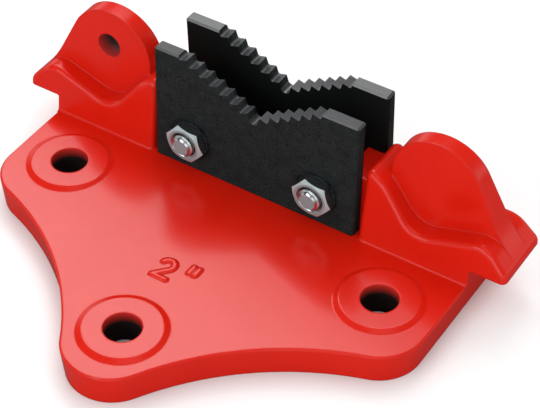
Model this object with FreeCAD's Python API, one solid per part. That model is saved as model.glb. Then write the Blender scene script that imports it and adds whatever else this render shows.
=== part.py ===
import FreeCAD, Part
import math
import os
from FreeCAD import Vector

# Bench chain pipe vise: base casting, two toothed jaws, two bolts and two nuts.
# X runs along the jaws, the nuts face -Y, Z is up and zero is the underside.

# Base plate, seen from above: two side lobes and one front lobe; its walls draw in downwards
plate_height = 14.0
plate_half_width = 99.8
plate_rear_y = 19.5
plate_rear_corner_radius = 5.0
side_lobe_radius = 20.0
side_lobe_y = -49.9
front_lobe_radius = 20.5
front_lobe_y = -113.4
flank_radius = 125.0
plate_edge_bevel = 0.7
plate_wall_inset = 1.2

# Mounting holes and the raised discs round them
mount_hole_radius = 7.75
side_hole_x = 75.0
side_hole_y = -41.0
front_hole_y = -107.0
disc_height = 1.2
disc_top_radius = 16.0
disc_foot_radius = 18.4

# Cored underside
core_depth = 7.0
core_rim_width = 9.0
core_rear_y = -22.0
core_post_wall = 9.0
core_rib_width = 9.0
core_corner_radius = 4.0

# Beam that carries the jaws, with draft on its faces; heights are above the plate
draft_angle = 2.0
beam_draft_angle = 8.5
beam_foot_half_width = 16.2
beam_foot_fillet = 1.2
beam_edge_radius = 2.5
beam_crest = 34.0
shoulder_x = 55.2
shoulder_radius = 18.0
saddle_x = 73.2
saddle_z = 11.5
saddle_radius = 12.0
nose_crest_x = 105.1
nose_crest_z = 21.3
nose_crest_radius = 10.0
nose_tip_x = 115.3
nose_tip_z = 10.4
nose_tip_radius = 4.5
nose_underside = 7.5
nose_root_radius = 1.0

# Web between the ends of the beam: it carries the bolts and dips between them, under the vee
web_crest = 26.0
web_crest_start_x = 20.0
web_dip = 17.0
web_dip_half_width = 13.0
web_dip_radius = 4.0
web_edge_radius = 1.0

# Ears over the ends of the beam
ear_crown_thickness = 7.1
ear_draft_angle = 3.0
ear_centre_x = 77.8
ear_centre_z = 33.2
ear_radius = 20.0
ear_outer_lean = 27.0
ear_blank_foot = 8.0
chain_pin_hole_radius = 5.5
chain_pin_hole_x = 78.6
chain_pin_hole_z = 36.4

# Jaws, held against the sides of the web
jaw_length = 96.0
jaw_height = 55.0
jaw_thickness = 6.0
jaw_edge_bevel = 0.8
jaw_end_gap = 2.0
jaw_foot_gap = 0.1
seat_half_gap = 10.15

# Teeth: each side of the vee is a line of square teeth set square to the flank
flank_angle = 28.6
first_tooth_x = 2.9
first_tooth_z = 40.35
tooth_pitch_x = 4.85
teeth_per_flank = 6
long_flank_angle = 26.0
long_flank_teeth = 7
tooth_root_radius = 0.9
centre_root_radius = 2.2

# Bolts and nuts
bolt_end_distance = 17.5
bolt_z = 15.7
bolt_radius = 5.0
bolt_hole_radius = 5.5
bolt_stub = 2.0
hex_across_flats = 16.0
bolt_head_height = 6.4
nut_height = 6.0
nut_turn = 49.0
nut_bore_clearance = 0.05
nut_seat_gap = 0.05
spot_face_margin = 0.3
spot_face_depth = 0.15

# Worked out from the values above
draft = math.tan(math.radians(draft_angle))
beam_draft = math.tan(math.radians(beam_draft_angle))
beam_top = plate_height + beam_crest
jaw_half = jaw_length / 2
bolt_x = jaw_half - bolt_end_distance
recess_half = jaw_half + jaw_end_gap
bolt_height = plate_height + bolt_z
ear_draft = math.tan(math.radians(ear_draft_angle))
hex_corner_radius = hex_across_flats / 2 / math.cos(math.radians(30))
spot_face_radius = hex_corner_radius + spot_face_margin
sunk = 1.0
far = 400.0


def in_side_view(u, v):
    return Vector(u, 0, v)


def in_section(u, v):
    return Vector(0, u, v)


def rounded_outline(corners, place):
    """Closed wire through corners (u, v, radius), each rounded by a tangent arc."""
    spans = []
    for index, (u, v, radius) in enumerate(corners):
        here = place(u, v)
        before = place(*corners[index - 1][:2])
        after = place(*corners[(index + 1) % len(corners)][:2])
        back = (before - here).normalize()
        ahead = (after - here).normalize()
        half_angle = back.getAngle(ahead) / 2
        if radius == 0:
            spans.append((here, None, here))
            continue
        reach = radius / math.tan(half_angle)
        inward = (back + ahead).normalize()
        middle = here + inward * (radius / math.sin(half_angle) - radius)
        spans.append((here + back * reach, middle, here + ahead * reach))
    edges = []
    for index, (start, middle, end) in enumerate(spans):
        if middle is not None:
            edges.append(Part.Arc(start, middle, end).toShape())
        following = spans[(index + 1) % len(spans)][0]
        if (following - end).Length > 1e-6:
            edges.append(Part.makeLine(end, following))
    return Part.Wire(edges)


def prism(wire, start, along):
    """Solid swept from a closed wire that is first moved by start."""
    face = Part.Face(wire)
    face.translate(start)
    return face.extrude(along)


def mirrored(shape):
    return shape.mirror(Vector(0, 0, 0), Vector(1, 0, 0))


def upright_cylinder(radius, x, y, bottom, height):
    return Part.makeCylinder(radius, height, Vector(x, y, bottom))


def cylinder_along_y(radius, x, z, start, end):
    return Part.makeCylinder(radius, end - start, Vector(x, start, z), Vector(0, 1, 0))


def flank_centre():
    """Centre of the hollow flank arc that touches the side lobe and the front lobe."""
    side_x = plate_half_width - side_lobe_radius
    gap = math.hypot(side_x, side_lobe_y - front_lobe_y)
    to_front = flank_radius + front_lobe_radius
    to_side = flank_radius + side_lobe_radius
    along = (to_front ** 2 - to_side ** 2 + gap ** 2) / (2 * gap)
    across = math.sqrt(to_front ** 2 - along ** 2)
    forward = Vector(side_x, side_lobe_y - front_lobe_y, 0).normalize()
    outward = Vector(forward.y, -forward.x, 0)
    return Vector(0, front_lobe_y, 0) + forward * along + outward * across


def plate_outline(inset):
    """Plan outline of the base plate, drawn in by inset all round."""
    rear = plate_rear_corner_radius - inset
    side_radius = side_lobe_radius - inset
    front_radius = front_lobe_radius - inset
    hollow_radius = flank_radius + inset
    side = Vector(plate_half_width - side_lobe_radius, side_lobe_y, 0)
    front = Vector(0, front_lobe_y, 0)
    flank = flank_centre()
    slant = math.sqrt(0.5)
    corner = Vector(plate_half_width - plate_rear_corner_radius, plate_rear_y - plate_rear_corner_radius, 0)
    corner_start = corner + Vector(0, rear, 0)
    corner_end = corner + Vector(rear, 0, 0)
    side_start = side + Vector(side_radius, 0, 0)
    side_end = side + (flank - side).normalize() * side_radius
    front_start = front + (flank - front).normalize() * front_radius
    front_end = front - Vector(0, front_radius, 0)
    side_middle = side + (side_start + side_end - side * 2).normalize() * side_radius
    flank_middle = flank + (side_end + front_start - flank * 2).normalize() * hollow_radius
    front_middle = front + (front_start + front_end - front * 2).normalize() * front_radius
    half = [
        Part.makeLine(Vector(0, plate_rear_y - inset, 0), corner_start),
        Part.Arc(corner_start, corner + Vector(slant, slant, 0) * rear, corner_end).toShape(),
        Part.makeLine(corner_end, side_start),
        Part.Arc(side_start, side_middle, side_end).toShape(),
        Part.Arc(side_end, flank_middle, front_start).toShape(),
        Part.Arc(front_start, front_middle, front_end).toShape(),
    ]
    other = [mirrored(edge) for edge in reversed(half)]
    return Part.Wire(half + other)


def mounting_places():
    return [(-side_hole_x, side_hole_y), (side_hole_x, side_hole_y), (0, front_hole_y)]


def plate_blank():
    """Plate whose walls draw in towards the underside, with a bevel round its top edge."""
    shoulder = plate_height - plate_edge_bevel
    sections = []
    for height, inset in ((0, plate_wall_inset),
                          (shoulder, plate_wall_inset * plate_edge_bevel / plate_height),
                          (plate_height, plate_edge_bevel)):
        outline = plate_outline(inset)
        outline.translate(Vector(0, 0, height))
        sections.append(outline)
    return Part.makeLoft(sections, True, True)


def raised_disc(x, y):
    """Low disc with a sloping edge round a mounting hole."""
    top = plate_height + disc_height
    outline = rounded_outline([
        (0, plate_height - sunk, 0),
        (disc_foot_radius, plate_height - sunk, 0),
        (disc_foot_radius, plate_height, 0),
        (disc_top_radius, top, 0),
        (0, top, 0),
    ], in_side_view)
    disc = Part.Face(outline).revolve(Vector(0, 0, 0), Vector(0, 0, 1), 360)
    disc.translate(Vector(x, y, 0))
    return disc


def underside_core():
    """Two hollows under the plate, parted by a rib and clear of the three holes."""
    inset = Part.Face(plate_outline(0)).makeOffset2D(-core_rim_width)
    width = side_hole_x - mount_hole_radius - core_post_wall - core_rib_width / 2
    front = front_hole_y + mount_hole_radius + core_post_wall
    window = Part.makeBox(width, core_rear_y - front, core_depth, Vector(core_rib_width / 2, front, 0))
    hollow = inset.extrude(Vector(0, 0, core_depth)).common(window)
    corners = [edge for edge in hollow.Edges if is_upright(edge)]
    hollow = hollow.makeFillet(core_corner_radius, corners)
    return [hollow, mirrored(hollow)]


def is_upright(edge):
    box = edge.BoundBox
    return box.ZLength > 0.5 and box.XLength < 0.01 and box.YLength < 0.01


def side_profile():
    """Beam seen from the front: flat over the jaws, a saddle and a nose at each end."""
    up = plate_height
    right = [
        (shoulder_x, beam_top, shoulder_radius),
        (saddle_x, up + saddle_z, saddle_radius),
        (nose_crest_x, up + nose_crest_z, nose_crest_radius),
        (nose_tip_x, up + nose_tip_z, nose_tip_radius),
        (nose_tip_x, up + nose_underside, 0),
        (plate_half_width, up + nose_underside, nose_root_radius),
        (plate_half_width, up, 0),
        (plate_half_width - plate_wall_inset, 0, 0),
    ]
    left = [(-x, z, radius) for x, z, radius in reversed(right)]
    return rounded_outline(right + left, in_side_view)


def beam_section():
    """Cross-section of the beam, with drafted faces and hollow fillets at the plate."""
    foot = beam_foot_half_width
    reach = foot + beam_foot_fillet * math.tan(math.radians(90 - beam_draft_angle) / 2)
    upper = foot - beam_draft * 2 * beam_crest
    top = plate_height + 2 * beam_crest
    right = [
        (reach, 0, 0),
        (reach, plate_height, 0),
        (foot, plate_height, beam_foot_fillet),
        (upper, top, 0),
    ]
    left = [(-y, z, radius) for y, z, radius in reversed(right)]
    return rounded_outline(right + left, in_section)


def web_section():
    """Cross-section of the web: its two faces are the seats of the jaws."""
    lower = seat_half_gap + draft * plate_height
    upper = seat_half_gap - draft * web_crest
    right = [(lower, 0, 0), (upper, plate_height + web_crest, web_edge_radius)]
    left = [(-y, z, radius) for y, z, radius in reversed(right)]
    return rounded_outline(right + left, in_section)


def web_profile(half_length):
    """Web seen from the front, with its dip between the bolts."""
    dip = plate_height + web_dip
    crest = plate_height + web_crest
    right = [
        (web_dip_half_width, dip, web_dip_radius),
        (web_crest_start_x, crest, web_dip_radius),
        (half_length, crest, 0),
        (half_length, 0, 0),
    ]
    left = [(-x, z, radius) for x, z, radius in reversed(right)]
    return rounded_outline(right + left, in_side_view)


def web():
    """Thin middle of the beam, run into the thick ends past their rounded edges."""
    half_length = recess_half + beam_edge_radius
    profile = prism(web_profile(half_length), Vector(0, -far, 0), Vector(0, 2 * far, 0))
    start = Vector(-half_length, 0, 0)
    return profile.common(prism(web_section(), start, Vector(2 * half_length, 0, 0)))


def beam_end():
    """Thick right end of the beam with its edges rounded."""
    silhouette = prism(side_profile(), Vector(0, -far, 0), Vector(0, 2 * far, 0))
    end = silhouette.common(prism(beam_section(), Vector(recess_half, 0, 0), Vector(far, 0, 0)))
    clear_of_foot = plate_height + 2 * beam_foot_fillet
    inner = [edge for edge in end.Edges
             if edge.BoundBox.XMax < recess_half + 0.01 and edge.BoundBox.ZMax > clear_of_foot]
    crest = [edge for edge in end.Edges
             if edge.BoundBox.XMin < recess_half + 0.01 and edge.BoundBox.XLength > 1
             and edge.BoundBox.ZMin > clear_of_foot]
    return end.makeFillet(beam_edge_radius, inner + crest)


def ear():
    """Upright ear of the right side: round top, upright inner side, leaning outer side."""
    lean = math.radians(ear_outer_lean)
    centre = Vector(ear_centre_x, 0, plate_height + ear_centre_z)
    bottom = plate_height + ear_blank_foot
    inner = centre - Vector(ear_radius, 0, 0)
    outer = centre + Vector(math.cos(lean), 0, math.sin(lean)) * ear_radius
    crown = centre + (inner + outer - centre * 2 + Vector(0, 0, ear_radius)).normalize() * ear_radius
    drop = outer.z - bottom
    outer_foot = Vector(outer.x + math.tan(lean) * drop, 0, bottom)
    inner_foot = Vector(inner.x, 0, bottom)
    outline = Part.Wire([
        Part.makeLine(inner_foot, inner),
        Part.Arc(inner, crown, outer).toShape(),
        Part.makeLine(outer, outer_foot),
        Part.makeLine(outer_foot, inner_foot),
    ])
    crown_half = ear_crown_thickness / 2
    top = centre.z + ear_radius
    foot_half = crown_half + ear_draft * (top - bottom)
    section = rounded_outline([
        (-foot_half, bottom, 0),
        (foot_half, bottom, 0),
        (crown_half, top, 0),
        (-crown_half, top, 0),
    ], in_section)
    slab = prism(section, Vector(0, 0, 0), Vector(far, 0, 0))
    return slab.common(prism(outline, Vector(0, -foot_half, 0), Vector(0, 2 * foot_half, 0)))


def base_casting():
    """Plate, web and eared ends in one casting, with its holes."""
    right_end = beam_end().fuse(ear())
    discs = [raised_disc(x, y) for x, y in mounting_places()]
    body = plate_blank().fuse(discs + [web(), right_end, mirrored(right_end)])
    holes = [upright_cylinder(mount_hole_radius, x, y, -1, far) for x, y in mounting_places()]
    holes += [cylinder_along_y(bolt_hole_radius, x, bolt_height, -far, far) for x in bolt_places()]
    pin_height = plate_height + chain_pin_hole_z
    holes.append(cylinder_along_y(chain_pin_hole_radius, -chain_pin_hole_x, pin_height, -far, far))
    return body.cut(holes + underside_core()).removeSplitter()


def bolt_places():
    return [-bolt_x, bolt_x]


def jaw_face_y(height):
    """Distance of a jaw's outer face from the middle, at a height above the plate."""
    return seat_half_gap + jaw_thickness / math.cos(math.radians(draft_angle)) - draft * height


def flank_corners(teeth, degrees):
    """Corners (x, z, radius) of a right-hand flank, from its first tooth to the land."""
    angle = math.radians(degrees)
    along = Vector(math.cos(angle), 0, math.sin(angle))
    out = Vector(-math.sin(angle), 0, math.cos(angle))
    half_pitch = tooth_pitch_x / math.cos(angle) / 2
    corners = []
    for number in range(teeth):
        tip = Vector(first_tooth_x, 0, first_tooth_z) + along * (2 * half_pitch * number)
        root = tip + (along - out) * half_pitch
        corners.append((tip.x, tip.z, 0))
        corners.append((root.x, root.z, tooth_root_radius))
    rise = (jaw_height - root.z) / (along + out).z
    corners.append((root.x + (along + out).x * rise, jaw_height, 0))
    return corners


def centre_root():
    """Corner between the first teeth of the two flanks."""
    angle = math.radians(flank_angle)
    slope = (math.sin(angle) + math.cos(angle)) / (math.cos(angle) - math.sin(angle))
    return (0, first_tooth_z - first_tooth_x * slope, centre_root_radius)


def jaw_outline(left_teeth, left_degrees):
    """Jaw seen from the front, before it is leaned against its seat."""
    right = [centre_root()] + flank_corners(teeth_per_flank, flank_angle)
    right += [(jaw_half, jaw_height, 0), (jaw_half, 0, 0)]
    left = [(-jaw_half, 0, 0), (-jaw_half, jaw_height, 0)]
    left += [(-x, z, radius) for x, z, radius in reversed(flank_corners(left_teeth, left_degrees))]
    return rounded_outline(right + left, in_side_view)


def jaw(left_teeth, left_degrees):
    """Toothed plate against the front seat, with spot faces for the nuts or the bolt heads."""
    outline = jaw_outline(left_teeth, left_degrees)
    plate = prism(outline, Vector(0, 0, 0), Vector(0, -jaw_thickness, 0))
    border = [edge for edge in plate.Edges if is_jaw_border(edge)]
    plate = plate.makeChamfer(jaw_edge_bevel, border)
    plate.rotate(Vector(0, 0, 0), Vector(1, 0, 0), -draft_angle)
    plate.translate(Vector(0, -seat_half_gap, plate_height + jaw_foot_gap))
    cuts = []
    for x in bolt_places():
        cuts.append(cylinder_along_y(bolt_hole_radius, x, bolt_height, -far, far))
        cuts.append(cylinder_along_y(spot_face_radius, x, bolt_height, -far, -spot_face_y()))
    return plate.cut(cuts)


def is_jaw_border(edge):
    """True for the upright end edges and the edges of the two lands."""
    box = edge.BoundBox
    upright = box.ZLength > jaw_height - 1
    land = box.ZMin > jaw_height - 0.01 and box.YLength < 0.01
    end = box.ZMin > jaw_height - 0.01 and box.XMin > jaw_half - 0.01
    other_end = box.ZMin > jaw_height - 0.01 and box.XMax < -jaw_half + 0.01
    return upright or land or end or other_end


def front_jaw():
    """Jaw in front of the web: its left flank is flatter and has one more tooth."""
    return jaw(long_flank_teeth, long_flank_angle)


def rear_jaw():
    """Jaw behind the web, with two like flanks."""
    plate = jaw(teeth_per_flank, flank_angle)
    plate.rotate(Vector(0, 0, 0), Vector(0, 0, 1), 180)
    return plate


def spot_face_y():
    """Distance of the spot faces from the middle, just below the leaning jaw face."""
    return jaw_face_y(bolt_z + jaw_foot_gap + spot_face_radius) - spot_face_depth


def hexagonal_bar(x, start, end):
    """Hexagonal bar about a bolt's axis, from start to end along Y."""
    corners = []
    for step in range(6):
        angle = math.radians(nut_turn + 60 * step)
        corners.append((hex_corner_radius * math.cos(angle), hex_corner_radius * math.sin(angle), 0))
    outline = rounded_outline(corners, in_side_view)
    return prism(outline, Vector(x, start, bolt_height), Vector(0, end - start, 0))


def bolt(x):
    """Hexagon bolt with its head on the rear jaw and its end past the nut."""
    head_start = spot_face_y()
    shank_end = -(spot_face_y() + nut_seat_gap + nut_height + bolt_stub)
    head = hexagonal_bar(x, head_start, head_start + bolt_head_height)
    shank = cylinder_along_y(bolt_radius, x, bolt_height, shank_end, head_start + sunk)
    return head.fuse(shank).removeSplitter()


def nut(x):
    """Hexagon nut on the front end of a bolt."""
    start = -(spot_face_y() + nut_seat_gap)
    bar = hexagonal_bar(x, start - nut_height, start)
    return bar.cut(cylinder_along_y(bolt_radius + nut_bore_clearance, x, bolt_height, -far, far))


parts = {
    "base_casting": base_casting(),
    "front_jaw": front_jaw(),
    "rear_jaw": rear_jaw(),
    "bolt_left": bolt(-bolt_x),
    "bolt_right": bolt(bolt_x),
    "nut_left": nut(-bolt_x),
    "nut_right": nut(bolt_x),
}

os.makedirs("parts", exist_ok=True)
for name, shape in parts.items():
    print(name, shape.isValid(), len(shape.Solids), round(shape.Volume), len(shape.Faces), shape.BoundBox)
    shape.exportStep("parts/" + name + ".step")
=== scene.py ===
"""Looks of a bench chain pipe vise: enamelled casting, blackened jaws, zinc plated bolts and nuts.

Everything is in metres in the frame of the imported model: X along the jaws, the nuts face -Y, Z up,
zero at the underside. Sizes of pieces are written in millimetres and turned to metres by MM.
"""

import logging
import math
from dataclasses import dataclass, field
from enum import Enum
from typing import Callable

import bmesh
import bpy
from mathutils import Matrix, Vector


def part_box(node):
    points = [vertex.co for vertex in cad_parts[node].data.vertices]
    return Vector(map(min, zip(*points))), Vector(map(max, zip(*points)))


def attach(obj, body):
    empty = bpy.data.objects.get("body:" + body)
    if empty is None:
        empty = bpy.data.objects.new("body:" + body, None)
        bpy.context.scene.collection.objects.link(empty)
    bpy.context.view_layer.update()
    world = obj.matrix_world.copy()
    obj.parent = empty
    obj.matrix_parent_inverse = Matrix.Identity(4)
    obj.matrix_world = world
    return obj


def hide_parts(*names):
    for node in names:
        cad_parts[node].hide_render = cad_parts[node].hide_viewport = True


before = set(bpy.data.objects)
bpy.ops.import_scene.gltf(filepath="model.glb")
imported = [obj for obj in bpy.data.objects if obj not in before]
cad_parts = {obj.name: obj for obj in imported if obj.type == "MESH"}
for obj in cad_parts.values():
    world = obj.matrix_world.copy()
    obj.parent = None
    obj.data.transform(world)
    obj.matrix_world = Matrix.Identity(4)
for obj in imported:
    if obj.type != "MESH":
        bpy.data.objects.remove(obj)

MM = 0.001
LOG = logging.getLogger("vise")

Tree = bpy.types.NodeTree
Socket = bpy.types.NodeSocket
Line = list[tuple[float, float]]

# Numbers of the sockets that share their name with another one on the same node.
FIRST = 0
SECOND = 1
SHARE = 0
SHADER_A = 1
SHADER_B = 2
VALUE_A = 2
VALUE_B = 3
COLOUR_A = 6
COLOUR_B = 7
MIXED_VALUE = 0
MIXED_COLOUR = 2

OF_COLOURS = {"data_type": "RGBA"}
WHITE = 1.0
EDGE_SAMPLES = 6
SHADE_SAMPLES = 8


def linear(colour: str) -> tuple[float, float, float, float]:
    """Turns an sRGB hex colour to linear light.

    Args:
        colour: Six hex digits after a hash sign.

    Returns:
        Red, green, blue and alpha of 1.
    """
    channels = [int(colour[i:i + 2], 16) / 255 for i in (1, 3, 5)]
    light = [c / 12.92 if c <= 0.04045 else ((c + 0.055) / 1.055) ** 2.4 for c in channels]
    return (light[0], light[1], light[2], 1.0)


def add_node(tree: Tree, kind: str, settings: dict | None = None, values: dict | None = None,
             links: dict | None = None) -> bpy.types.Node:
    """Adds one node to a shader tree.

    Args:
        tree: The tree that takes the node.
        kind: Blender's name of the node type.
        settings: Properties of the node, by name.
        values: Values of unlinked sockets, by socket name or number.
        links: Output sockets to join to this node's inputs, by socket name or number.

    Returns:
        The new node.
    """
    node = tree.nodes.new(kind)
    for name, value in (settings or {}).items():
        setattr(node, name, value)
    for name, value in (values or {}).items():
        node.inputs[name].default_value = value
    for name, socket in (links or {}).items():
        tree.links.new(socket, node.inputs[name])
    return node


@dataclass(frozen=True)
class Pattern:
    """An uneven pattern of patches, grains or marks on a surface.

    Attributes:
        size_mm: Distance from one patch or grain to the next.
        detail: Number of finer layers in the pattern.
        height_mm: Height of the relief, or 0 where the pattern is only in the colour.
        strength: How much of that height the eye sees.
    """

    size_mm: float
    detail: float
    height_mm: float = 0.0
    strength: float = 1.0

    @property
    def noise(self) -> dict[str, float]:
        """Values of the noise that draws the pattern."""
        return {"Scale": 1.0 / (self.size_mm * MM), "Detail": self.detail}

    @property
    def relief(self) -> dict[str, float]:
        """Values of the bump that the pattern makes."""
        return {"Strength": self.strength, "Distance": self.height_mm * MM}


@dataclass(frozen=True)
class Finish:
    """A finish: one shader with a material name and rounded edges too small for the mesh.

    Attributes:
        name: Name of the material.
        edge_mm: Radius by which the finish softens sharp edges.
    """

    name: str
    edge_mm: float

    def soft_normal(self, tree: Tree) -> Socket:
        """Normal that rounds sharp edges of the mesh by the finish's edge radius."""
        bevel = add_node(tree, "ShaderNodeBevel", {"samples": EDGE_SAMPLES}, {"Radius": self.edge_mm * MM})
        return bevel.outputs["Normal"]

    def object_place(self, tree: Tree) -> Socket:
        """Place on the object in metres, the same on every piece of it."""
        return add_node(tree, "ShaderNodeTexCoord").outputs["Object"]

    def shader(self, tree: Tree) -> Socket:
        """Builds the finish's own nodes and returns the surface socket."""
        raise NotImplementedError

    def material(self) -> bpy.types.Material:
        """Makes the material.

        Returns:
            A new material with this finish.
        """
        made = bpy.data.materials.new(self.name)
        made.use_nodes = True
        tree = made.node_tree
        tree.nodes.clear()
        add_node(tree, "ShaderNodeOutputMaterial", links={"Surface": self.shader(tree)})
        return made


@dataclass(frozen=True)
class Bore:
    """A drilled hole whose wall is painted dark with depth, as painted shade, in millimetres.

    The defaults are those of a mounting hole.

    Attributes:
        middle: A point on the hole's axis.
        across: 1 for the two axes across the hole, 0 for the axis along it.
        radius: Radius of the hole.
        mouth: Place along the axis at which the painted shade begins.
        depth: Place along the axis at which the painted shade is full.
        slack: How far outside the radius a place still counts as the hole's wall.
    """

    middle: tuple[float, float, float]
    across: tuple[float, float, float] = (1, 1, 0)
    radius: float = 7.75
    mouth: float = 15.0
    depth: float = 10.0
    slack: float = 0.15

    def wall(self, tree: Tree, place: Socket) -> Socket:
        """Builds the share of the hole: 1 on its wall, 0 outside it.

        Args:
            tree: The tree that takes the nodes.
            place: Place on the object in metres.

        Returns:
            The share's socket.
        """
        flat = add_node(tree, "ShaderNodeVectorMath", {"operation": "MULTIPLY"},
                        {SECOND: self.across}, {FIRST: place})
        axis = [value * keep * MM for value, keep in zip(self.middle, self.across)]
        away = add_node(tree, "ShaderNodeVectorMath", {"operation": "DISTANCE"},
                        {SECOND: axis}, {FIRST: flat.outputs["Vector"]})
        inside = add_node(tree, "ShaderNodeMath", {"operation": "LESS_THAN"},
                          {SECOND: (self.radius + self.slack) * MM}, {FIRST: away.outputs["Value"]})
        return inside.outputs["Value"]

    def share(self, tree: Tree, place: Socket) -> Socket:
        """Builds the share of painted shade: 0 outside the hole, rising to 1 with the depth in it.

        Args:
            tree: The tree that takes the nodes.
            place: Place on the object in metres.

        Returns:
            The share's socket.
        """
        # Painted shade: the share grows with the depth down the hole.
        along = add_node(tree, "ShaderNodeVectorMath", {"operation": "DOT_PRODUCT"},
                         {SECOND: [1.0 - keep for keep in self.across]}, {FIRST: place})
        reach = add_node(tree, "ShaderNodeMapRange",
                         values={"From Min": self.mouth * MM, "From Max": self.depth * MM},
                         links={"Value": along.outputs["Value"]})
        both = add_node(tree, "ShaderNodeMath", {"operation": "MULTIPLY"},
                        links={FIRST: self.wall(tree, place), SECOND: reach.outputs["Result"]})
        return both.outputs["Value"]


BORES = (
    Bore((-75.0, -41.0, 0.0)),
    Bore((75.0, -41.0, 0.0)),
    Bore((0.0, -107.0, 0.0)),
    Bore((-78.6, 0.0, 50.4), across=(1, 0, 1), radius=5.5, mouth=-6.5, depth=2.5),
)


@dataclass(frozen=True)
class StovedEnamel(Finish):
    """Gloss red enamel, sprayed and stoved on a sand casting.

    The film levels out, so the surface mirrors the lamps almost sharply. A faint orange peel and the
    casting's grain under the film make the mirror image waver, and the film is a little deeper
    in colour where it lies thick. Down the walls of the holes it is matt and darkens with depth, as
    painted shade; the web between the jaws is painted dark too, as painted shade between the jaws.

    Attributes:
        thick_film: Colour of the film where it lies thick.
        thin_film: Colour of the film where it lies thin.
        shade_colour: Dark colour painted as shade down the holes and on the web between the jaws.
        ior: Index of refraction of the film.
        roughness: Roughness of the film.
        bore_roughness: Roughness on the walls of the holes.
        web_shade_box: Half length, half width and lowest place of the web's painted shade, in millimetres.
        patches: Patches in which the film is thick or thin.
        peel: The orange peel.
        grain: The casting's grain, seen through the film.
    """

    name: str = "stoved_red_enamel"
    edge_mm: float = 1.0
    thick_film: str = "#D01607"
    thin_film: str = "#DC200B"
    shade_colour: str = "#1A0806"
    ior: float = 1.5
    roughness: float = 0.2
    bore_roughness: float = 0.75
    web_shade_box: tuple[float, float, float] = (40.0, 10.1, 16.0)
    patches: Pattern = Pattern(24.0, 3.0)
    peel: Pattern = Pattern(7.0, 1.0, 0.012)
    grain: Pattern = Pattern(1.1, 2.0, 0.0016)

    def web_shade_share(self, tree: Tree, place: Socket) -> Socket:
        """Builds the share of painted shade on the web: 1 in the space between the jaws, 0 outside it.

        Args:
            tree: The tree that takes the nodes.
            place: Place on the object in metres.

        Returns:
            The share's socket.
        """
        half_length, half_width, bottom = self.web_shade_box
        moved = add_node(tree, "ShaderNodeVectorMath", {"operation": "SUBTRACT"},
                         {SECOND: (0, 0, (bottom + half_length) * MM)}, {FIRST: place})
        sized = add_node(tree, "ShaderNodeVectorMath", {"operation": "MULTIPLY"},
                         {SECOND: (1, half_length / half_width, 1)}, {FIRST: moved.outputs["Vector"]})
        apart = add_node(tree, "ShaderNodeVectorMath", {"operation": "ABSOLUTE"},
                         links={FIRST: sized.outputs["Vector"]})
        parts = add_node(tree, "ShaderNodeSeparateXYZ", links={"Vector": apart.outputs["Vector"]})
        widest = add_node(tree, "ShaderNodeMath", {"operation": "MAXIMUM"},
                          links={FIRST: parts.outputs["X"], SECOND: parts.outputs["Y"]})
        most = add_node(tree, "ShaderNodeMath", {"operation": "MAXIMUM"},
                        links={FIRST: widest.outputs["Value"], SECOND: parts.outputs["Z"]})
        inside = add_node(tree, "ShaderNodeMath", {"operation": "LESS_THAN"},
                          {SECOND: half_length * MM}, {FIRST: most.outputs["Value"]})
        return inside.outputs["Value"]

    def film(self, tree: Tree, place: Socket) -> Socket:
        """Builds the colour of the film, with painted shade down the holes and on the web.

        Args:
            tree: The tree that takes the nodes.
            place: Place on the object in metres.

        Returns:
            The colour's socket.
        """
        patches = add_node(tree, "ShaderNodeTexNoise", values=self.patches.noise, links={"Vector": place})
        paint = add_node(tree, "ShaderNodeMix", OF_COLOURS,
                         {COLOUR_A: linear(self.thick_film), COLOUR_B: linear(self.thin_film)},
                         {SHARE: patches.outputs["Fac"]})
        colour = paint.outputs[MIXED_COLOUR]
        # Painted shade: the film's colour goes dark down the holes and on the web between the jaws.
        for share in [bore.share(tree, place) for bore in BORES] + [self.web_shade_share(tree, place)]:
            shaded = add_node(tree, "ShaderNodeMix", OF_COLOURS, {COLOUR_B: linear(self.shade_colour)},
                            {SHARE: share, COLOUR_A: colour})
            colour = shaded.outputs[MIXED_COLOUR]
        return colour

    def gloss(self, tree: Tree, place: Socket) -> Socket:
        """Builds the roughness of the film, which is matt on the walls of the holes.

        Args:
            tree: The tree that takes the nodes.
            place: Place on the object in metres.

        Returns:
            The roughness's socket.
        """
        matt, *others = [bore.wall(tree, place) for bore in BORES]
        for wall in others:
            either = add_node(tree, "ShaderNodeMath", {"operation": "MAXIMUM"},
                              links={FIRST: matt, SECOND: wall})
            matt = either.outputs["Value"]
        rough = add_node(tree, "ShaderNodeMix",
                         values={VALUE_A: self.roughness, VALUE_B: self.bore_roughness},
                         links={SHARE: matt})
        return rough.outputs[MIXED_VALUE]

    def shader(self, tree: Tree) -> Socket:
        """Builds the enamel's nodes.

        Args:
            tree: The tree that takes the nodes.

        Returns:
            The surface's socket.
        """
        place = self.object_place(tree)
        peel = add_node(tree, "ShaderNodeTexNoise", values=self.peel.noise, links={"Vector": place})
        grain = add_node(tree, "ShaderNodeTexNoise", values=self.grain.noise, links={"Vector": place})
        wavy = add_node(tree, "ShaderNodeBump", values=self.peel.relief,
                        links={"Height": peel.outputs["Fac"], "Normal": self.soft_normal(tree)})
        grainy = add_node(tree, "ShaderNodeBump", values=self.grain.relief,
                          links={"Height": grain.outputs["Fac"], "Normal": wavy.outputs["Normal"]})
        enamel = add_node(tree, "ShaderNodeBsdfPrincipled", values={"IOR": self.ior},
                          links={"Base Color": self.film(tree, place), "Roughness": self.gloss(tree, place),
                                 "Normal": grainy.outputs["Normal"]})
        return enamel.outputs["BSDF"]


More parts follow.
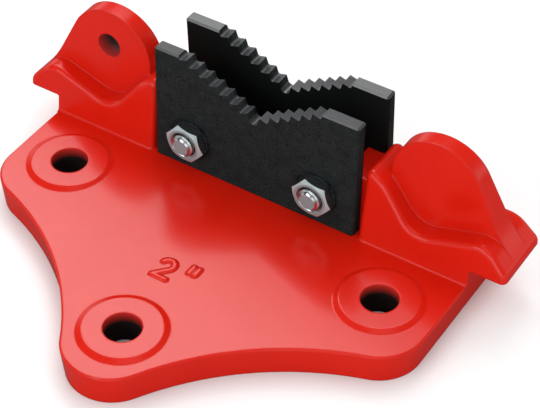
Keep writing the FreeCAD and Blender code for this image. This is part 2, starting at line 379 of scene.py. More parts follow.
@dataclass(frozen=True)
class BlackenedSteel(Finish):
    """Jaw steel: sandy rolled plate with milled teeth and lands, blackened in hot oxide.

    The oxide on the rolled faces is matt and even; the faces that the jaws turn to each other are
    painted darker, as painted shade between the jaws. On the milled faces, which look upwards, it
    lies thinner over smooth metal, so they go grey where they face a lamp, and their colour is lighter
    too, partly as a painted highlight on the faces that look upwards.

    Attributes:
        deep_oxide: Colour of the rolled faces where the oxide is deep.
        thin_oxide: Colour of the rolled faces where the oxide is thin.
        inner_shade: Painted shade on the faces that the jaws turn to each other.
        milled_oxide_and_sheen: Colour of the milled faces, lighter partly as a painted highlight.
        rolled_roughness: Roughness of the rolled faces.
        milled_roughness: Roughness of the milled faces.
        rolled_ior: Index of refraction that gives the rolled faces their weak sheen.
        milled_ior: Index of refraction that gives the milled faces their strong sheen.
        inner_half_mm: The inner faces lie nearer than this to the middle plane.
        milled_from: Upward part of the normal at which the milled look, with its painted highlight, begins.
        milled_to: Upward part of the normal at which it is full.
        mottle: Patches in the oxide.
        grit: The sandy grit of the rolled plate.
        grit_share: Share of the grit in the oxide's colour; the rest is the mottle.
        deep_from: Height of the pattern below which the oxide is deep.
        thin_from: Height of the pattern above which the oxide is thin.
    """

    name: str = "blackened_jaw_steel"
    edge_mm: float = 0.35
    deep_oxide: str = "#131717"
    thin_oxide: str = "#2D3434"
    inner_shade: str = "#151717"
    milled_oxide_and_sheen: str = "#343639"
    rolled_roughness: float = 0.6
    milled_roughness: float = 0.3
    rolled_ior: float = 1.12
    milled_ior: float = 2.2
    inner_half_mm: float = 10.3
    milled_from: float = 0.25
    milled_to: float = 0.6
    mottle: Pattern = Pattern(3.5, 4.0)
    # Real grit is near 0.1 mm; it is drawn at 0.45 mm so that it shows.
    grit: Pattern = Pattern(0.45, 2.0, 0.03, strength=0.7)
    grit_share: float = 0.75
    deep_from: float = 0.35
    thin_from: float = 0.65

    def inner_shade_share(self, tree: Tree, place: Socket) -> Socket:
        """Builds the share of painted shade on the faces that the jaws turn to each other.

        Args:
            tree: The tree that takes the nodes.
            place: Place on the object in metres.

        Returns:
            The share's socket.
        """
        parts = add_node(tree, "ShaderNodeSeparateXYZ", links={"Vector": place})
        apart = add_node(tree, "ShaderNodeMath", {"operation": "ABSOLUTE"},
                         links={FIRST: parts.outputs["Y"]})
        inner = add_node(tree, "ShaderNodeMath", {"operation": "LESS_THAN"},
                         {SECOND: self.inner_half_mm * MM}, {FIRST: apart.outputs["Value"]})
        return inner.outputs["Value"]

    def milled_and_sheen_share(self, tree: Tree) -> Socket:
        """Builds the share of the milled look with its painted highlight: 1 on the teeth and lands, 0 on
        the upright faces.

        Args:
            tree: The tree that takes the nodes.

        Returns:
            The share's socket.
        """
        way = add_node(tree, "ShaderNodeTexCoord")
        parts = add_node(tree, "ShaderNodeSeparateXYZ", links={"Vector": way.outputs["Normal"]})
        share = add_node(tree, "ShaderNodeMapRange",
                         values={"From Min": self.milled_from, "From Max": self.milled_to},
                         links={"Value": parts.outputs["Z"]})
        return share.outputs["Result"]

    def rolled_colour(self, tree: Tree, place: Socket, grit: Socket) -> Socket:
        """Builds the colour of the rolled faces, mottled and gritty, with painted shade on the faces that
        the jaws turn to each other.

        Args:
            tree: The tree that takes the nodes.
            place: Place on the object in metres.
            grit: The pattern of the grit.

        Returns:
            The colour's socket.
        """
        mottle = add_node(tree, "ShaderNodeTexNoise", values=self.mottle.noise, links={"Vector": place})
        depth = add_node(tree, "ShaderNodeMix", values={SHARE: self.grit_share},
                         links={VALUE_A: mottle.outputs["Fac"], VALUE_B: grit})
        spread = add_node(tree, "ShaderNodeMapRange",
                          values={"From Min": self.deep_from, "From Max": self.thin_from},
                          links={"Value": depth.outputs[MIXED_VALUE]})
        rolled = add_node(tree, "ShaderNodeMix", OF_COLOURS,
                          {COLOUR_A: linear(self.deep_oxide), COLOUR_B: linear(self.thin_oxide)},
                          {SHARE: spread.outputs["Result"]})
        # Painted shade: the faces that the jaws turn to each other get a darker colour.
        sides = add_node(tree, "ShaderNodeMix", OF_COLOURS, {COLOUR_B: linear(self.inner_shade)},
                         {SHARE: self.inner_shade_share(tree, place), COLOUR_A: rolled.outputs[MIXED_COLOUR]})
        return sides.outputs[MIXED_COLOUR]

    def shader(self, tree: Tree) -> Socket:
        """Builds the oxide's nodes.

        Args:
            tree: The tree that takes the nodes.

        Returns:
            The surface's socket.
        """
        place = self.object_place(tree)
        grit = add_node(tree, "ShaderNodeTexNoise", values=self.grit.noise, links={"Vector": place})
        milled = self.milled_and_sheen_share(tree)
        # The milled faces' lighter colour is partly a painted highlight on the faces that look upwards.
        oxide = add_node(tree, "ShaderNodeMix", OF_COLOURS, {COLOUR_B: linear(self.milled_oxide_and_sheen)},
                         {SHARE: milled, COLOUR_A: self.rolled_colour(tree, place, grit.outputs["Fac"])})
        roughness = add_node(tree, "ShaderNodeMix",
                             values={VALUE_A: self.rolled_roughness, VALUE_B: self.milled_roughness},
                             links={SHARE: milled})
        ior = add_node(tree, "ShaderNodeMix", values={VALUE_A: self.rolled_ior, VALUE_B: self.milled_ior},
                       links={SHARE: milled})
        sandy = add_node(tree, "ShaderNodeBump", values=self.grit.relief,
                         links={"Height": grit.outputs["Fac"], "Normal": self.soft_normal(tree)})
        steel = add_node(tree, "ShaderNodeBsdfPrincipled",
                         links={"Base Color": oxide.outputs[MIXED_COLOUR],
                                "Roughness": roughness.outputs[MIXED_VALUE],
                                "IOR": ior.outputs[MIXED_VALUE], "Normal": sandy.outputs["Normal"]})
        return steel.outputs["BSDF"]


@dataclass(frozen=True)
class BrightZinc(Finish):
    """Zinc plating on cold-forged steel fasteners.

    The flanks and threads are smooth under the plate and mirror the lamps and the dark jaws. The
    chamfers and end faces were turned, so they scatter the light, the faces to an even grey. The
    threads and the countersinks are painted dark as painted shade, where little of the sky is open.

    Attributes:
        bright_plate: Colour of the plate where it is bright.
        dull_plate: Colour of the plate where it is dull.
        turned_chamfer: Colour of the turned chamfers.
        turned_face: Colour of the turned end faces.
        nook_shade: Colour of the painted shade in the threads and the countersinks.
        shade_reach_mm: Width of the nooks that take painted shade.
        unshaded_from: Open share of the sky above which there is no painted shade.
        fully_shaded_to: Open share of the sky below which all is painted shade.
        plate_metal: How metallic the plate looks, from 0 to 1.
        turned_metal: How metallic the turned surfaces look.
        shade_metal: How metallic the painted shade looks.
        chamfers: Parts of the normal along the bolt between which the chamfers' look sets in.
        faces: Parts of the normal along the bolt between which the end faces' look sets in.
        bright_roughness: Roughness where the plate is bright.
        dull_roughness: Roughness where the plate is dull.
        dull_patches: Patches in which the plate is dull.
        marks: Marks of the forging, under the plate.
    """

    name: str = "bright_zinc_plate"
    edge_mm: float = 0.3
    bright_plate: str = "#E0E2E5"
    dull_plate: str = "#B4B7BB"
    turned_chamfer: str = "#A9B9BC"
    turned_face: str = "#83979A"
    nook_shade: str = "#0E0F10"
    shade_reach_mm: float = 1.6
    unshaded_from: float = 0.8
    fully_shaded_to: float = 0.45
    plate_metal: float = 1.0
    turned_metal: float = 0.15
    shade_metal: float = 0.0
    chamfers: tuple[float, float] = (0.7, 0.84)
    faces: tuple[float, float] = (0.93, 0.98)
    bright_roughness: float = 0.14
    dull_roughness: float = 0.3
    dull_patches: Pattern = Pattern(2.2, 3.0)
    # Real marks are near 0.1 mm apart; they are drawn at 0.35 mm so that they show.
    marks: Pattern = Pattern(0.35, 1.0, 0.012, strength=0.5)

    def end_share(self, tree: Tree, between: tuple[float, float]) -> Socket:
        """Builds a share that rises as the surface turns to face along the bolt.

        Args:
            tree: The tree that takes the nodes.
            between: Parts of the normal along the bolt at which the share is 0 and 1.

        Returns:
            The share's socket.
        """
        way = add_node(tree, "ShaderNodeTexCoord")
        parts = add_node(tree, "ShaderNodeSeparateXYZ", links={"Vector": way.outputs["Normal"]})
        along = add_node(tree, "ShaderNodeMath", {"operation": "ABSOLUTE"},
                         links={FIRST: parts.outputs["Y"]})
        share = add_node(tree, "ShaderNodeMapRange",
                         values={"From Min": between[0], "From Max": between[1]},
                         links={"Value": along.outputs["Value"]})
        return share.outputs["Result"]

    def shade_share(self, tree: Tree) -> Socket:
        """Builds the share of painted shade: 1 deep in the threads and the countersinks, 0 in the open.

        Args:
            tree: The tree that takes the nodes.

        Returns:
            The share's socket.
        """
        nook = add_node(tree, "ShaderNodeAmbientOcclusion", {"samples": SHADE_SAMPLES},
                        {"Distance": self.shade_reach_mm * MM})
        share = add_node(tree, "ShaderNodeMapRange",
                         values={"From Min": self.unshaded_from, "From Max": self.fully_shaded_to},
                         links={"Value": nook.outputs["AO"]})
        return share.outputs["Result"]

    def shader(self, tree: Tree) -> Socket:
        """Builds the plating's nodes.

        Args:
            tree: The tree that takes the nodes.

        Returns:
            The surface's socket.
        """
        place = self.object_place(tree)
        dull = add_node(tree, "ShaderNodeTexNoise", values=self.dull_patches.noise, links={"Vector": place})
        plate = add_node(tree, "ShaderNodeMix", OF_COLOURS,
                         {COLOUR_A: linear(self.bright_plate), COLOUR_B: linear(self.dull_plate)},
                         {SHARE: dull.outputs["Fac"]})
        marks = add_node(tree, "ShaderNodeTexNoise", values=self.marks.noise, links={"Vector": place})
        forged = add_node(tree, "ShaderNodeBump", values=self.marks.relief,
                          links={"Height": marks.outputs["Fac"], "Normal": self.soft_normal(tree)})
        gloss = add_node(tree, "ShaderNodeMapRange",
                         values={"To Min": self.bright_roughness, "To Max": self.dull_roughness},
                         links={"Value": dull.outputs["Fac"]})
        turned = self.end_share(tree, self.chamfers)
        # Painted shade: the threads and countersinks go dark and lose their metal where the sky is closed
        # in.
        nook_shaded = self.shade_share(tree)
        colour = plate.outputs[MIXED_COLOUR]
        for share, over in ((turned, self.turned_chamfer),
                            (self.end_share(tree, self.faces), self.turned_face),
                            (nook_shaded, self.nook_shade)):
            coat = add_node(tree, "ShaderNodeMix", OF_COLOURS, {COLOUR_B: linear(over)},
                            {SHARE: share, COLOUR_A: colour})
            colour = coat.outputs[MIXED_COLOUR]
        metal = add_node(tree, "ShaderNodeMix",
                         values={VALUE_A: self.plate_metal, VALUE_B: self.turned_metal},
                         links={SHARE: turned})
        metal_in_shade = add_node(tree, "ShaderNodeMix", values={VALUE_B: self.shade_metal},
                          links={SHARE: nook_shaded, VALUE_A: metal.outputs[MIXED_VALUE]})
        zinc = add_node(tree, "ShaderNodeBsdfPrincipled",
                        links={"Base Color": colour, "Metallic": metal_in_shade.outputs[MIXED_VALUE],
                               "Roughness": gloss.outputs["Result"], "Normal": forged.outputs["Normal"]})
        return zinc.outputs["BSDF"]


@dataclass(frozen=True)
class StudioPaper(Finish):
    """Matt pale paper under the vise.

    To the camera it is white, apart from the vise's shadow and what shows through the holes. Glossy
    surfaces mirror it as grey.

    Attributes:
        paper: Colour of the paper.
        mirrored_paper: Colour that glossy surfaces mirror.
        lift: Light that the open paper gives off to the camera, where 1 is white.
        shade_mm: Width of the shade round the vise's foot.
        shade_from: Open share of the sky below which the paper gives off no light.
        shade_to: Open share of the sky above which it gives off all of its light.
    """

    name: str = "matt_studio_paper"
    edge_mm: float = 0.0
    paper: str = "#E4E4E4"
    mirrored_paper: str = "#666666"
    lift: float = 0.2
    shade_mm: float = 12.0
    shade_from: float = 0.4
    shade_to: float = 0.9

    def shader(self, tree: Tree) -> Socket:
        """Builds the paper's nodes.

        Args:
            tree: The tree that takes the nodes.

        Returns:
            The surface's socket.
        """
        ray = add_node(tree, "ShaderNodeLightPath")
        colour = add_node(tree, "ShaderNodeMix", OF_COLOURS,
                          {COLOUR_A: linear(self.paper), COLOUR_B: linear(self.mirrored_paper)},
                          {SHARE: ray.outputs["Is Glossy Ray"]})
        matt = add_node(tree, "ShaderNodeBsdfDiffuse", links={"Color": colour.outputs[MIXED_COLOUR]})
        open_sky = add_node(tree, "ShaderNodeAmbientOcclusion", {"samples": SHADE_SAMPLES},
                            {"Distance": self.shade_mm * MM})
        lift = add_node(tree, "ShaderNodeMapRange",
                        values={"From Min": self.shade_from, "From Max": self.shade_to,
                                "To Max": self.lift},
                        links={"Value": open_sky.outputs["AO"]})
        glow = add_node(tree, "ShaderNodeEmission", links={"Strength": lift.outputs["Result"]})
        dark = add_node(tree, "ShaderNodeEmission", values={"Strength": 0.0})
        seen = add_node(tree, "ShaderNodeMixShader",
                        links={SHARE: ray.outputs["Is Camera Ray"], SHADER_A: dark.outputs["Emission"],
                               SHADER_B: glow.outputs["Emission"]})
        both = add_node(tree, "ShaderNodeAddShader",
                        links={FIRST: matt.outputs["BSDF"], SECOND: seen.outputs["Shader"]})
        return both.outputs["Shader"]


def make_piece(name: str, work: bmesh.types.BMesh, sharp_degrees: float,
               material: bpy.types.Material) -> bpy.types.Object:
    """Makes a piece of a built mesh, smooth but for its sharp edges.

    Args:
        name: Name of the piece.
        work: The built mesh, in metres; it is freed.
        sharp_degrees: Edges bent by more than this stay sharp.
        material: Material of all faces.

    Returns:
        The linked object, with its origin at the frame's origin.
    """
    bmesh.ops.recalc_face_normals(work, faces=work.faces)
    for face in work.faces:
        face.smooth = True
    for edge in work.edges:
        edge.smooth = edge.calc_face_angle(0.0) < math.radians(sharp_degrees)
    mesh = bpy.data.meshes.new(name)
    work.to_mesh(mesh)
    work.free()
    mesh.materials.append(material)
    piece = bpy.data.objects.new(name, mesh)
    bpy.context.scene.collection.objects.link(piece)
    LOG.info("%s: %d faces", name, len(mesh.polygons))
    return piece


def make_skin(name: str, rows: list[list[Vector]], sharp_degrees: float,
              material: bpy.types.Material, capped: bool = True) -> bpy.types.Object:
    """Makes a closed piece from rings of points.

    Args:
        name: Name of the piece.
        rows: Rings with the same number of points, in order along the piece, in metres.
        sharp_degrees: Edges bent by more than this stay sharp.
        material: Material of all faces.
        capped: True to close the first and last ring with a face, False to join them to each other.

    Returns:
        The linked object, with its origin at the frame's origin.
    """
    work = bmesh.new()
    rings = [[work.verts.new(point) for point in row] for row in rows]
    aboves = rings[1:] if capped else rings[1:] + rings[:1]
    for below, above in zip(rings, aboves):
        for i in range(len(below)):
            j = (i + 1) % len(below)
            work.faces.new((below[i], below[j], above[j], above[i]))
    if capped:
        work.faces.new(rings[0][::-1])
        work.faces.new(rings[-1])
    return make_piece(name, work, sharp_degrees, material)


def dress(node: str, material: bpy.types.Material) -> None:
    """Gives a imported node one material.

    Args:
        node: Name of the node.
        material: The material for all of it.
    """
    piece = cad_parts[node]
    piece.data.materials.clear()
    piece.data.materials.append(material)
    LOG.info("%s: %s", node, material.name)


class Side(Enum):
    """The two ends of the vise, by the sign of X."""

    LEFT = -1
    RIGHT = 1


@dataclass
class SizeMark:
    """Raised size figure on the plate, cast with it: a 2 and the two ticks of an inch sign.

    Sizes and places are in millimetres, and places are given as (x, y).

    Attributes:
        plate_z: Height of the plate's top.
        height: Height of the strokes over the plate.
        crest_half: Half the flat width of a stroke's crest.
        foot_half: Half the width of a stroke at its foot.
        cell: Spacing of the relief's grid.
        sink: Depth of the piece's flat back under the plate's top.
        sharp_degrees: Edges bent by more than this stay sharp.
        bowl_centre: Centre of the arc that is the bowl of the 2.
        bowl_radius: Radius of that arc.
        bowl_start: Angle in degrees at which the stroke begins.
        bowl_end: Angle in degrees at which the slant leaves the bowl.
        bowl_steps: Number of straight runs in the bowl.
        foot_left: Left end of the 2's foot.
        foot_right: Right end of the 2's foot.
        tick_x: Places of the two ticks along X.
        tick_top: Place of the ticks' upper ends along Y.
        tick_foot: Place of the ticks' lower ends along Y.
    """

    plate_z: float
    height: float = 0.75
    crest_half: float = 0.45
    foot_half: float = 1.75
    cell: float = 0.16
    sink: float = 0.4
    sharp_degrees: float = 50.0
    bowl_centre: tuple[float, float] = (-5.2, -69.2)
    bowl_radius: float = 2.8
    bowl_start: float = 160.0
    bowl_end: float = -40.0
    bowl_steps: int = 12
    foot_left: tuple[float, float] = (-8.0, -76.4)
    foot_right: tuple[float, float] = (-1.7, -76.4)
    tick_x: tuple[float, float] = (4.3, 6.9)
    tick_top: float = -64.7
    tick_foot: float = -68.4

    def two(self) -> Line:
        """Gives the middle line of the 2: its bowl as an arc, then the slant and the foot.

        Returns:
            The line's corners.
        """
        line = []
        sweep = self.bowl_end - self.bowl_start
        for step in range(self.bowl_steps + 1):
            angle = math.radians(self.bowl_start + sweep * step / self.bowl_steps)
            line.append((self.bowl_centre[0] + self.bowl_radius * math.cos(angle),
                         self.bowl_centre[1] + self.bowl_radius * math.sin(angle)))
        return line + [self.foot_left, self.foot_right]

    def ticks(self) -> list[Line]:
        """Middle lines of the two ticks."""
        return [[(x, self.tick_top), (x, self.tick_foot)] for x in self.tick_x]

    def rise(self, x: float, y: float, lines: list[Line]) -> float:
        """Height of the relief at a place.

        Args:
            x: Place along X.
            y: Place along Y.
            lines: Middle lines of the strokes.

        Returns:
            Height over the plate, zero beyond a stroke's foot.
        """
        here = Vector((x, y))
        nearest = self.foot_half
        for line in lines:
            for start, end in zip(line, line[1:]):
                a = Vector(start)
                along = Vector(end) - a
                share = min(1.0, max(0.0, (here - a).dot(along) / along.length_squared))
                nearest = min(nearest, (here - a - along * share).length)
        slope = min(1.0, max(0.0, (self.foot_half - nearest) / (self.foot_half - self.crest_half)))
        # The cubic leaves the plate and reaches the crest with no corner.
        return self.height * slope * slope * (3 - 2 * slope)

    def relief(self, name: str, lines: list[Line], enamel: bpy.types.Material) -> None:
        """Builds one closed relief from its middle lines and fixes it to the casting.

        Args:
            name: Name of the piece.
            lines: Middle lines of the strokes.
            enamel: The casting's material.
        """
        xs = [x for line in lines for x, _ in line]
        ys = [y for line in lines for _, y in line]
        left = min(xs) - self.foot_half
        low = min(ys) - self.foot_half
        columns = math.ceil((max(xs) + self.foot_half - left) / self.cell)
        rows = math.ceil((max(ys) + self.foot_half - low) / self.cell)
        grid = {}
        for c in range(columns + 1):
            for r in range(rows + 1):
                x = left + c * self.cell
                y = low + r * self.cell
                grid[c, r] = (x, y, self.rise(x, y, lines))
        work = bmesh.new()
        corners = {}
        for c in range(columns):
            for r in range(rows):
                square = [(c, r), (c + 1, r), (c + 1, r + 1), (c, r + 1)]
                if max(grid[key][2] for key in square) <= 0:
                    continue
                for key in square:
                    if key not in corners:
                        x, y, z = grid[key]
                        corners[key] = work.verts.new(Vector((x, y, self.plate_z + z)) * MM)
                work.faces.new([corners[key] for key in square])
        back = bmesh.ops.extrude_face_region(work, geom=list(work.faces))
        for item in back["geom"]:
            if isinstance(item, bmesh.types.BMVert):
                item.co.z = (self.plate_z - self.sink) * MM
        piece = make_piece(name, work, self.sharp_degrees, enamel)
        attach(piece, "vise_base")

    def build(self, enamel: bpy.types.Material) -> None:
        """Builds the figure and the ticks."""
        self.relief("size_mark_two", [self.two()], enamel)
        self.relief("size_mark_ticks", self.ticks(), enamel)


@dataclass
class EarBlend:
    """Hollow cast blend from an ear's leaning side to the tip of the nose under it, in millimetres.

    Attributes:
        side: Which of the two ears.
        top: Place (x, z) on the ear's side where the blend starts.
        corner: Place where the lines of the ear's side and of the nose's slope meet.
        toe: Place on the nose's slope where the blend ends.
        sink: Way from the blend's skin to its hidden back.
        crown_z: Height of the ear's crown.
        crown_half: Half the ear's thickness at its crown.
        draft: Growth of that half per millimetre below the crown.
        steps: Number of straight runs from the top to the toe.
        sharp_degrees: Edges bent by more than this stay sharp.
    """

    side: Side
    top: tuple[float, float] = (103.65, 40.5)
    corner: tuple[float, float] = (107.74, 32.48)
    toe: tuple[float, float] = (113.88, 25.91)
    sink: float = 2.0
    crown_z: float = 67.2
    crown_half: float = 3.52
    draft: float = 0.0524
    steps: int = 16
    sharp_degrees: float = 40.0

    def build(self, enamel: bpy.types.Material) -> None:
        """Builds the blend and fixes it to the casting.

        Args:
            enamel: The casting's material.
        """
        top, corner, toe = (Vector(place) for place in (self.top, self.corner, self.toe))
        chord = (toe - top).normalized()
        inward = Vector((chord.y, -chord.x)) * self.sink
        rows = []
        for step in range(self.steps + 1):
            t = step / self.steps
            skin = top * (1 - t) ** 2 + corner * 2 * t * (1 - t) + toe * t ** 2
            half = self.crown_half + self.draft * (self.crown_z - skin.y)
            back = skin + inward
            rows.append([Vector((place.x * self.side.value, y, place.y)) * MM
                         for place, y in ((skin, -half), (skin, half), (back, half), (back, -half))])
        piece = make_skin("ear_blend_" + self.side.name.lower(), rows, self.sharp_degrees, enamel)
        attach(piece, "vise_base")


@dataclass
class Casting:
    """The base casting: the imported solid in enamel, with its size mark and the blends at its ears.

    Attributes:
        node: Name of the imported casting.
        plate_z: Height of the plate's top, in millimetres.
    """

    node: str = "base_casting"
    plate_z: float = 14.0

    def build(self, enamel: bpy.types.Material) -> None:
        """Dresses the casting and adds its size mark and blends.

        Args:
            enamel: The casting's material.
        """
        dress(self.node, enamel)
        SizeMark(self.plate_z).build(enamel)
        for side in Side:
            EarBlend(side).build(enamel)


@dataclass
class Jaws:
    """The two toothed jaws, dressed as they are packed.

    Attributes:
        nodes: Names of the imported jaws.
    """

    nodes: tuple[str, str] = ("front_jaw", "rear_jaw")

    def build(self, steel: bpy.types.Material) -> None:
        """Dresses both jaws."""
        for node in self.nodes:
            dress(node, steel)


@dataclass
class Hexagon:
    """Outline and corner chamfer of a hexagon head or nut, in millimetres.

    Attributes:
        across_flats: Width over two flats.
        corners: Number of corners.
        turn: Angle of one corner from X towards Z, in degrees.
        chamfer_degrees: Angle of the turned chamfer to the end face.
        face_share: Radius of the flat end face, as a share of half the width over flats.
        steps: Points round the outline from one corner to the next.
    """

    across_flats: float = 16.0
    corners: int = 6
    turn: float = 49.0
    chamfer_degrees: float = 30.0
    face_share: float = 0.9
    steps: int = 16

    def angles(self) -> list[float]:
        """Angles round the outline, with one on every corner."""
        count = self.corners * self.steps
        return [math.radians(self.turn) + 2 * math.pi * i / count for i in range(count)]

    def reach(self, angle: float) -> float:
        """Distance from the middle to the hexagon's side.

        Args:
            angle: Angle from X towards Z, in radians.

        Returns:
            The distance at that angle.
        """
        sector = 2 * math.pi / self.corners
        off = (angle - math.radians(self.turn)) % sector - sector / 2
        return self.across_flats / 2 / math.cos(off)

    @property
    def face_radius(self) -> float:
        """Radius of the flat end face inside the chamfer."""
        return self.across_flats / 2 * self.face_share

    def drop(self, angle: float) -> float:
        """Height of the chamfer at an angle, from the end face to the hexagon's side."""
        return (self.reach(angle) - self.face_radius) * math.tan(math.radians(self.chamfer_degrees))


@dataclass
class Fastening:
    """One bolt through both jaws with its nut, in millimetres.

    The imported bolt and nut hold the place; these pieces add the thread, the countersinks and the
    turned chamfers in the same space.

    Attributes:
        side: Which of the two bolts.
        hexagon: Form of the head and of the nut.
        shank_radius: Radius of the shank and of the thread's crests.
        bore_radius: Radius of the nut's bore.
        sink_radius: Radius of the countersink at the nut's faces.
        head_height: Height of the bolt's head.
        pitch: Pitch of the thread.
        thread_depth: Depth of the thread.
        groove_share: Depth to which the groove's flanks aim, over the thread's depth; its root is flat.
        thread_length: Length of the thread from the bolt's end.
        end_chamfer: Chamfer on the bolt's end.
        rows_per_turn: Rings of the mesh in one turn of the thread.
        sharp_degrees: Edges bent by more than this stay sharp.
    """

    side: Side
    hexagon: Hexagon = field(default_factory=Hexagon)
    shank_radius: float = 5.0
    bore_radius: float = 5.05
    sink_radius: float = 6.2
    head_height: float = 6.4
    pitch: float = 1.5
    thread_depth: float = 0.8
    groove_share: float = 1.15
    thread_length: float = 13.0
    end_chamfer: float = 1.5
    rows_per_turn: int = 12
    sharp_degrees: float = 20.0

    @property
    def word(self) -> str:
        """Word for the side in the nodes' names."""
        return self.side.name.lower()

    def middle(self, node: str) -> Vector:
        """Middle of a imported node."""
        low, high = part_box(node)
        return (low + high) / 2 / MM

    def ring(self, axis: Vector, radius: Callable[[float], float],
             y: Callable[[float], float]) -> list[Vector]:
        """Gives one ring of points about the bolt's axis.

        Args:
            axis: A point on the axis.
            radius: Gives the radius at an angle.
            y: Gives the place along Y at an angle.

        Returns:
            The points, in metres.
        """
        return [Vector((axis.x + radius(a) * math.cos(a), y(a), axis.z + radius(a) * math.sin(a))) * MM
                for a in self.hexagon.angles()]

    def circle(self, axis: Vector, radius: float, y: float) -> list[Vector]:
        """Ring of one radius and one place along Y."""
        return self.ring(axis, lambda a: radius, lambda a: y)

    def chamfer_ring(self, axis: Vector, face_y: float, inward: float) -> list[Vector]:
        """Ring where a chamfer meets the hexagon's sides; inward is 1 or -1 along Y from its face."""
        form = self.hexagon
        return self.ring(axis, form.reach, lambda a: face_y + inward * form.drop(a))

    def build_nut(self, zinc: bpy.types.Material) -> None:
        """Builds the nut with chamfers and countersinks at both faces.

        Args:
            zinc: The fasteners' material.
        """
        node = "nut_" + self.word
        low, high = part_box(node)
        front = low.y / MM
        back = high.y / MM
        axis = self.middle(node)
        sink = self.sink_radius - self.bore_radius
        rows = [
            self.circle(axis, self.bore_radius, front + sink),
            self.circle(axis, self.sink_radius, front),
            self.circle(axis, self.hexagon.face_radius, front),
            self.chamfer_ring(axis, front, 1),
            self.chamfer_ring(axis, back, -1),
            self.circle(axis, self.hexagon.face_radius, back),
            self.circle(axis, self.sink_radius, back),
            self.circle(axis, self.bore_radius, back - sink),
        ]
        piece = make_skin("turned_nut_" + self.word, rows, self.sharp_degrees, zinc, capped=False)
        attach(piece, self.word + "_nut")
        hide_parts(node)

    def thread_radius(self, y: float, tip: float, angle: float) -> float:
        """Radius of the threaded end at a place.

        Args:
            y: Place along Y.
            tip: Place of the bolt's end.
            angle: Angle round the bolt.

        Returns:
            The radius, between the thread's root and its crest, and inside the end chamfer.
        """
        turn = ((y - tip) / self.pitch - angle / (2 * math.pi)) % 1.0
        groove = self.thread_depth * (1 - abs(2 * turn - 1)) * self.groove_share
        fade = min(1.0, max(0.0, (tip + self.thread_length - y) / self.pitch))
        crest = self.shank_radius - min(groove, self.thread_depth) * fade
        return min(crest, self.shank_radius - self.end_chamfer + (y - tip))

    def build_bolt(self, zinc: bpy.types.Material) -> None:
        """Builds the bolt with its threaded end, plain shank and chamfered head.

        Args:
            zinc: The fasteners' material.
        """
        node = "bolt_" + self.word
        low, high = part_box(node)
        tip = low.y / MM
        head = high.y / MM
        seat = head - self.head_height
        axis = self.middle(node)
        step = self.pitch / self.rows_per_turn
        rows = []
        for number in range(round(self.thread_length / step) + 1):
            y = tip + number * step
            rows.append(self.ring(axis, lambda a: self.thread_radius(y, tip, a), lambda a: y))
        rows += [
            self.circle(axis, self.shank_radius, seat),
            self.ring(axis, self.hexagon.reach, lambda a: seat),
            self.chamfer_ring(axis, head, -1),
            self.circle(axis, self.hexagon.face_radius, head),
        ]
        piece = make_skin("threaded_bolt_" + self.word, rows, self.sharp_degrees, zinc)
        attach(piece, "vise_base")
        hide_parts(node)

    def build(self, zinc: bpy.types.Material) -> None:
        """Builds the bolt and its nut."""
        self.build_bolt(zinc)
        self.build_nut(zinc)


@dataclass(frozen=True)
class Softbox:
    """One soft lamp.

    Attributes:
        name: Name of the lamp.
        place: Place of its middle, in metres.
        size: Width and height, in metres.
        radiance: Brightness of its face, where 1 is white.
        facing: Point that its face is turned to, or None to face straight down.
        spin: Turn about its own axis, in degrees.
    """

    name: str
    place: tuple[float, float, float]
    size: tuple[float, float]
    radiance: float
    facing: tuple[float, float, float] | None = None
    spin: float = 0.0

    def build(self) -> None:
        """Adds the lamp to the scene."""
        lamp = bpy.data.lights.new(self.name, "AREA")
        lamp.shape = "RECTANGLE"
        lamp.size, lamp.size_y = self.size
        lamp.energy = self.radiance * math.pi * self.size[0] * self.size[1]
        holder = bpy.data.objects.new(self.name, lamp)
        out = Vector((0, 0, 1))
        if self.facing is not None:
            out = Vector(self.place) - Vector(self.facing)
        turn = out.to_track_quat("Z", "Y").to_matrix().to_4x4()
        spin = Matrix.Rotation(math.radians(self.spin), 4, "Z")
        holder.matrix_world = Matrix.Translation(self.place) @ turn @ spin
        bpy.context.scene.collection.objects.link(holder)


VISE_MIDDLE = (0, 0, 0.03)
SOFTBOXES = (
    Softbox("key_softbox", place=(-0.62, 0.60, 1.0), size=(1.3, 0.40), radiance=4.1, spin=-12.2),
    Softbox("overhead_softbox", place=(0.35, -0.35, 1.2), size=(0.8, 0.8), radiance=0.45),
    Softbox("front_softbox", place=(0.5, -1.5, 0.55), size=(1.4, 0.8), radiance=1.2, facing=VISE_MIDDLE),
    Softbox("edge_softbox", place=(-0.35, -1.15, 0.95), size=(0.9, 0.35), radiance=3.2, facing=VISE_MIDDLE),
)


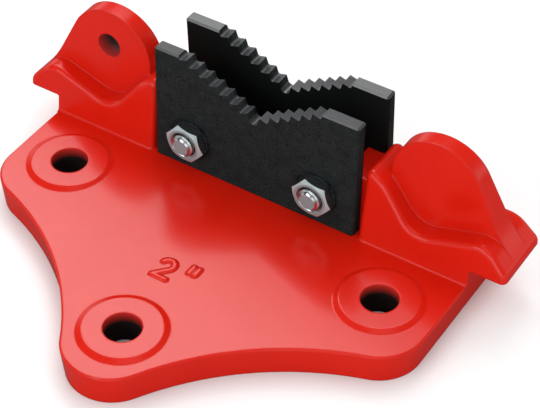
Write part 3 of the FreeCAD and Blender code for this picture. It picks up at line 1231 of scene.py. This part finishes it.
@dataclass(frozen=True)
class Studio:
    """Camera, floor, lamps and surroundings.

    Attributes:
        lamps: The soft lamps: a key behind on the left, one overhead and two in front.
        azimuth: Angle of the camera from -Y towards X, in degrees.
        elevation: Angle of the camera above the floor, in degrees.
        distance_mm: Distance from the camera to its target.
        target_mm: Point in the middle of the frame.
        lens_mm: Focal length.
        sensor_mm: Width of the sensor.
        nearest: Distance from which the camera sees, in metres.
        floor_half: Half the width of the floor, in metres.
        floor_drop_mm: Height of the underside over the floor.
        ambient: Light from all round, where 1 is white.
        mirrored_wall: Brightness of the surroundings near the horizon, as gloss mirrors them.
        mirrored_ceiling: Brightness of the surroundings overhead, as gloss mirrors them.
        wall_top: Height of the mirrored direction, from 0 to 1, up to which the wall is bright.
        ceiling_from: Height of the mirrored direction above which all is ceiling.
    """

    lamps: tuple[Softbox, ...] = SOFTBOXES
    azimuth: float = 32.56
    elevation: float = 42.92
    distance_mm: float = 717.68
    target_mm: tuple[float, float, float] = (26.59, -44.09, 43.39)
    lens_mm: float = 123.89
    sensor_mm: float = 36.0
    nearest: float = 0.01
    floor_half: float = 4.0
    floor_drop_mm: float = 0.1
    ambient: float = 1.02
    mirrored_wall: float = 1.0
    mirrored_ceiling: float = 0.03
    wall_top: float = 0.1
    ceiling_from: float = 0.4

    def build_camera(self) -> None:
        """Adds the camera at the photograph's viewing angle."""
        az = math.radians(self.azimuth)
        el = math.radians(self.elevation)
        out = Vector((math.sin(az) * math.cos(el), -math.cos(az) * math.cos(el), math.sin(el)))
        lens = bpy.data.cameras.new("camera")
        lens.lens = self.lens_mm
        lens.sensor_width = self.sensor_mm
        lens.clip_start = self.nearest
        camera = bpy.data.objects.new("camera", lens)
        camera.location = (Vector(self.target_mm) + out * self.distance_mm) * MM
        camera.rotation_euler = out.to_track_quat("Z", "Y").to_euler()
        bpy.context.scene.collection.objects.link(camera)
        bpy.context.scene.camera = camera

    def build_floor(self) -> None:
        """Adds the floor just under the vise."""
        far = self.floor_half
        low = -self.floor_drop_mm * MM
        sheet = bpy.data.meshes.new("floor")
        sheet.from_pydata([(-far, -far, low), (far, -far, low), (far, far, low), (-far, far, low)], [],
                          [(0, 1, 2, 3)])
        sheet.materials.append(StudioPaper().material())
        floor = bpy.data.objects.new("floor", sheet)
        bpy.context.scene.collection.objects.link(floor)

    def build_world(self) -> None:
        """Makes the surroundings: white to the camera and near the horizon, dim overhead."""
        world = bpy.data.worlds.new("studio")
        bpy.context.scene.world = world
        world.use_nodes = True
        tree = world.node_tree
        tree.nodes.clear()
        ray = add_node(tree, "ShaderNodeLightPath")
        way = add_node(tree, "ShaderNodeTexCoord")
        parts = add_node(tree, "ShaderNodeSeparateXYZ", links={"Vector": way.outputs["Generated"]})
        wall = add_node(tree, "ShaderNodeMapRange",
                        values={"From Min": self.wall_top, "From Max": self.ceiling_from,
                                "To Min": self.mirrored_wall, "To Max": self.mirrored_ceiling},
                        links={"Value": parts.outputs["Z"]})
        fill = add_node(tree, "ShaderNodeBackground", values={"Strength": self.ambient})
        white = add_node(tree, "ShaderNodeBackground", values={"Strength": WHITE})
        mirrored = add_node(tree, "ShaderNodeBackground", links={"Strength": wall.outputs["Result"]})
        seen = fill.outputs["Background"]
        for kind, light in (("Is Glossy Ray", mirrored), ("Is Transmission Ray", white),
                            ("Is Camera Ray", white)):
            choice = add_node(tree, "ShaderNodeMixShader",
                              links={SHARE: ray.outputs[kind], SHADER_A: seen,
                                     SHADER_B: light.outputs["Background"]})
            seen = choice.outputs["Shader"]
        add_node(tree, "ShaderNodeOutputWorld", links={"Surface": seen})

    def build(self) -> None:
        """Builds the whole studio."""
        bpy.context.scene.view_settings.view_transform = "Standard"
        self.build_camera()
        self.build_floor()
        self.build_world()
        for lamp in self.lamps:
            lamp.build()


def main() -> None:
    """Builds every sub-assembly."""
    logging.basicConfig(level=logging.INFO, format="%(message)s")
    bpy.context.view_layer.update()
    enamel = StovedEnamel().material()
    steel = BlackenedSteel().material()
    zinc = BrightZinc().material()
    Casting().build(enamel)
    Jaws().build(steel)
    for side in Side:
        Fastening(side).build(zinc)
    Studio().build()


if __name__ == "__main__":
    main()
